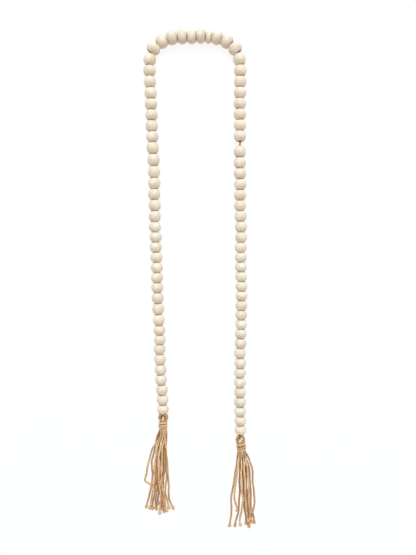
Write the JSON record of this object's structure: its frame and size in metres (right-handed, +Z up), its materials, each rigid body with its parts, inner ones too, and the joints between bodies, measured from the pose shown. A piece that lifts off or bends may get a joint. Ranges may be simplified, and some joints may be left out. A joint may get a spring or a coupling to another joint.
{
  "type": "wood bead garland",
  "caption": "Garland of round pale wooden beads on a jute twine, with a bound jute tassel at each end, laid flat in an upside-down U.",
  "frame": {"origin": "on the surface that the garland rests on, under the middle of its whole outline", "axes": "+Z up from the surface, +Y from the tassels towards the arch of the U, +X from the left strand to the right strand"},
  "size_m": [0.1591, 0.6803, 0.0183],
  "materials": {
    "pale_wood": "unvarnished, sanded smooth",
    "jute_twine": "plied twine, matte",
    "knotted_jute": "knotted twine, matte",
    "jute_strands": "loose twisted strands with frayed tips, matte",
    "binding_jute": "wound twine, matte"
  },
  "bodies": {
    "root": {"beads_01": "pale_wood", "beads_02": "pale_wood", "beads_03": "pale_wood", "beads_04": "pale_wood", "beads_05": "pale_wood", "beads_06": "pale_wood", "beads_07": "pale_wood", "beads_08": "pale_wood", "beads_09": "pale_wood", "beads_10": "pale_wood", "beads_11": "pale_wood", "beads_12": "pale_wood", "beads_13": "pale_wood", "beads_14": "pale_wood", "beads_15": "pale_wood", "beads_16": "pale_wood", "beads_17": "pale_wood", "beads_18": "pale_wood", "beads_19": "pale_wood", "beads_20": "pale_wood", "beads_21": "pale_wood", "beads_22": "pale_wood", "beads_23": "pale_wood", "beads_24": "pale_wood", "beads_25": "pale_wood", "beads_26": "pale_wood", "beads_27": "pale_wood", "beads_28": "pale_wood", "beads_29": "pale_wood", "beads_30": "pale_wood", "beads_31": "pale_wood", "beads_32": "pale_wood", "beads_33": "pale_wood", "beads_34": "pale_wood", "beads_35": "pale_wood", "beads_36": "pale_wood", "beads_37": "pale_wood", "beads_38": "pale_wood", "beads_39": "pale_wood", "beads_40": "pale_wood", "beads_41": "pale_wood", "cord": "jute_twine", "knot_left": "knotted_jute", "knot_right": "knotted_jute", "tassel_left": "jute_strands", "tassel_right": "jute_strands", "binding_left": "binding_jute", "binding_right": "binding_jute"}
  },
  "joints": []
}
